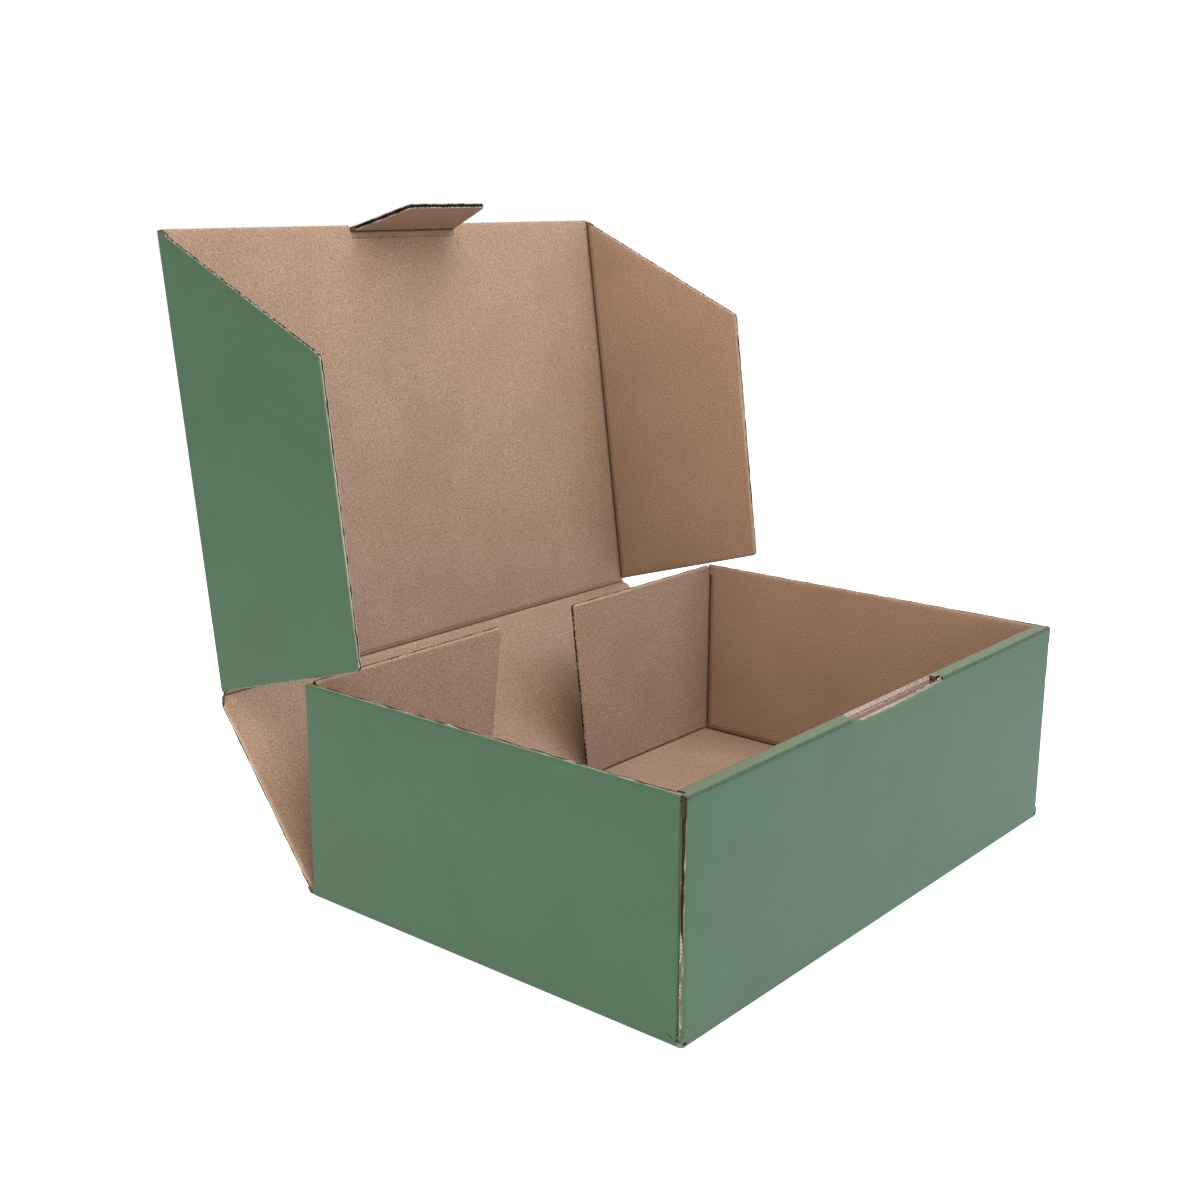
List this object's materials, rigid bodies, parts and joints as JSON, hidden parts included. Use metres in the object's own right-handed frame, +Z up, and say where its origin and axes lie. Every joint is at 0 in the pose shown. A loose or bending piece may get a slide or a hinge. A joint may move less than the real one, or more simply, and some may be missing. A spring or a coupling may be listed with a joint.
{
  "type": "mailer box",
  "caption": "Open die-cut mailer box of corrugated board, printed green outside, with a rolled slotted front wall, hinged rear wall, tucked lid with side flaps and a tuck tab.",
  "frame": {"origin": "centre of the tray's underside", "axes": "+Z up, +X to the right along the front wall, +Y from the front wall to the rear"},
  "size_m": [0.35, 0.3483, 0.3514],
  "materials": {
    "board": "matte"
  },
  "bodies": {
    "tray": {"tray": "board"},
    "rear_wall": {"rear_wall": "board"},
    "lid": {"lid": "board"},
    "lid_flap_left": {"lid_flap_left": "board"},
    "lid_flap_right": {"lid_flap_right": "board"},
    "tuck_tab": {"tuck_tab": "board"},
    "rear_corner_flap_left": {"rear_corner_flap_left": "board"},
    "rear_corner_flap_right": {"rear_corner_flap_right": "board"}
  },
  "joints": [
    {"name": "rear_wall_hinge", "type": "hinge", "parent": "tray", "child": "rear_wall", "pos_m": [0, 0.1195, 0.003], "axis": [1, 0, 0], "range_deg": [-52.5, 37.5]},
    {"name": "lid_hinge", "type": "hinge", "parent": "rear_wall", "child": "lid", "pos_m": [0, 0.18981, 0.09463], "axis": [1, 0, 0], "range_deg": [-29.8, 0]},
    {"name": "lid_flap_left_hinge", "type": "hinge", "parent": "lid", "child": "lid_flap_left", "pos_m": [-0.1687, 0.18981, 0.09463], "axis": [0, 0.134, 0.991], "range_deg": [-90, 0]},
    {"name": "lid_flap_right_hinge", "type": "hinge", "parent": "lid", "child": "lid_flap_right", "pos_m": [0.1687, 0.18981, 0.09463], "axis": [0, -0.134, -0.991], "range_deg": [-90, 0]},
    {"name": "tuck_tab_hinge", "type": "hinge", "parent": "lid", "child": "tuck_tab", "pos_m": [0, 0.2223, 0.33495], "axis": [1, 0, 0], "range_deg": [-78, 12]},
    {"name": "corner_flap_left_hinge", "type": "hinge", "parent": "tray", "child": "rear_corner_flap_left", "pos_m": [-0.172, 0.1162, 0], "axis": [0, 0, 1], "range_deg": [-85, 0]},
    {"name": "corner_flap_right_hinge", "type": "hinge", "parent": "tray", "child": "rear_corner_flap_right", "pos_m": [0.172, 0.1162, 0], "axis": [0, 0, -1], "range_deg": [-85, 0]}
  ]
}
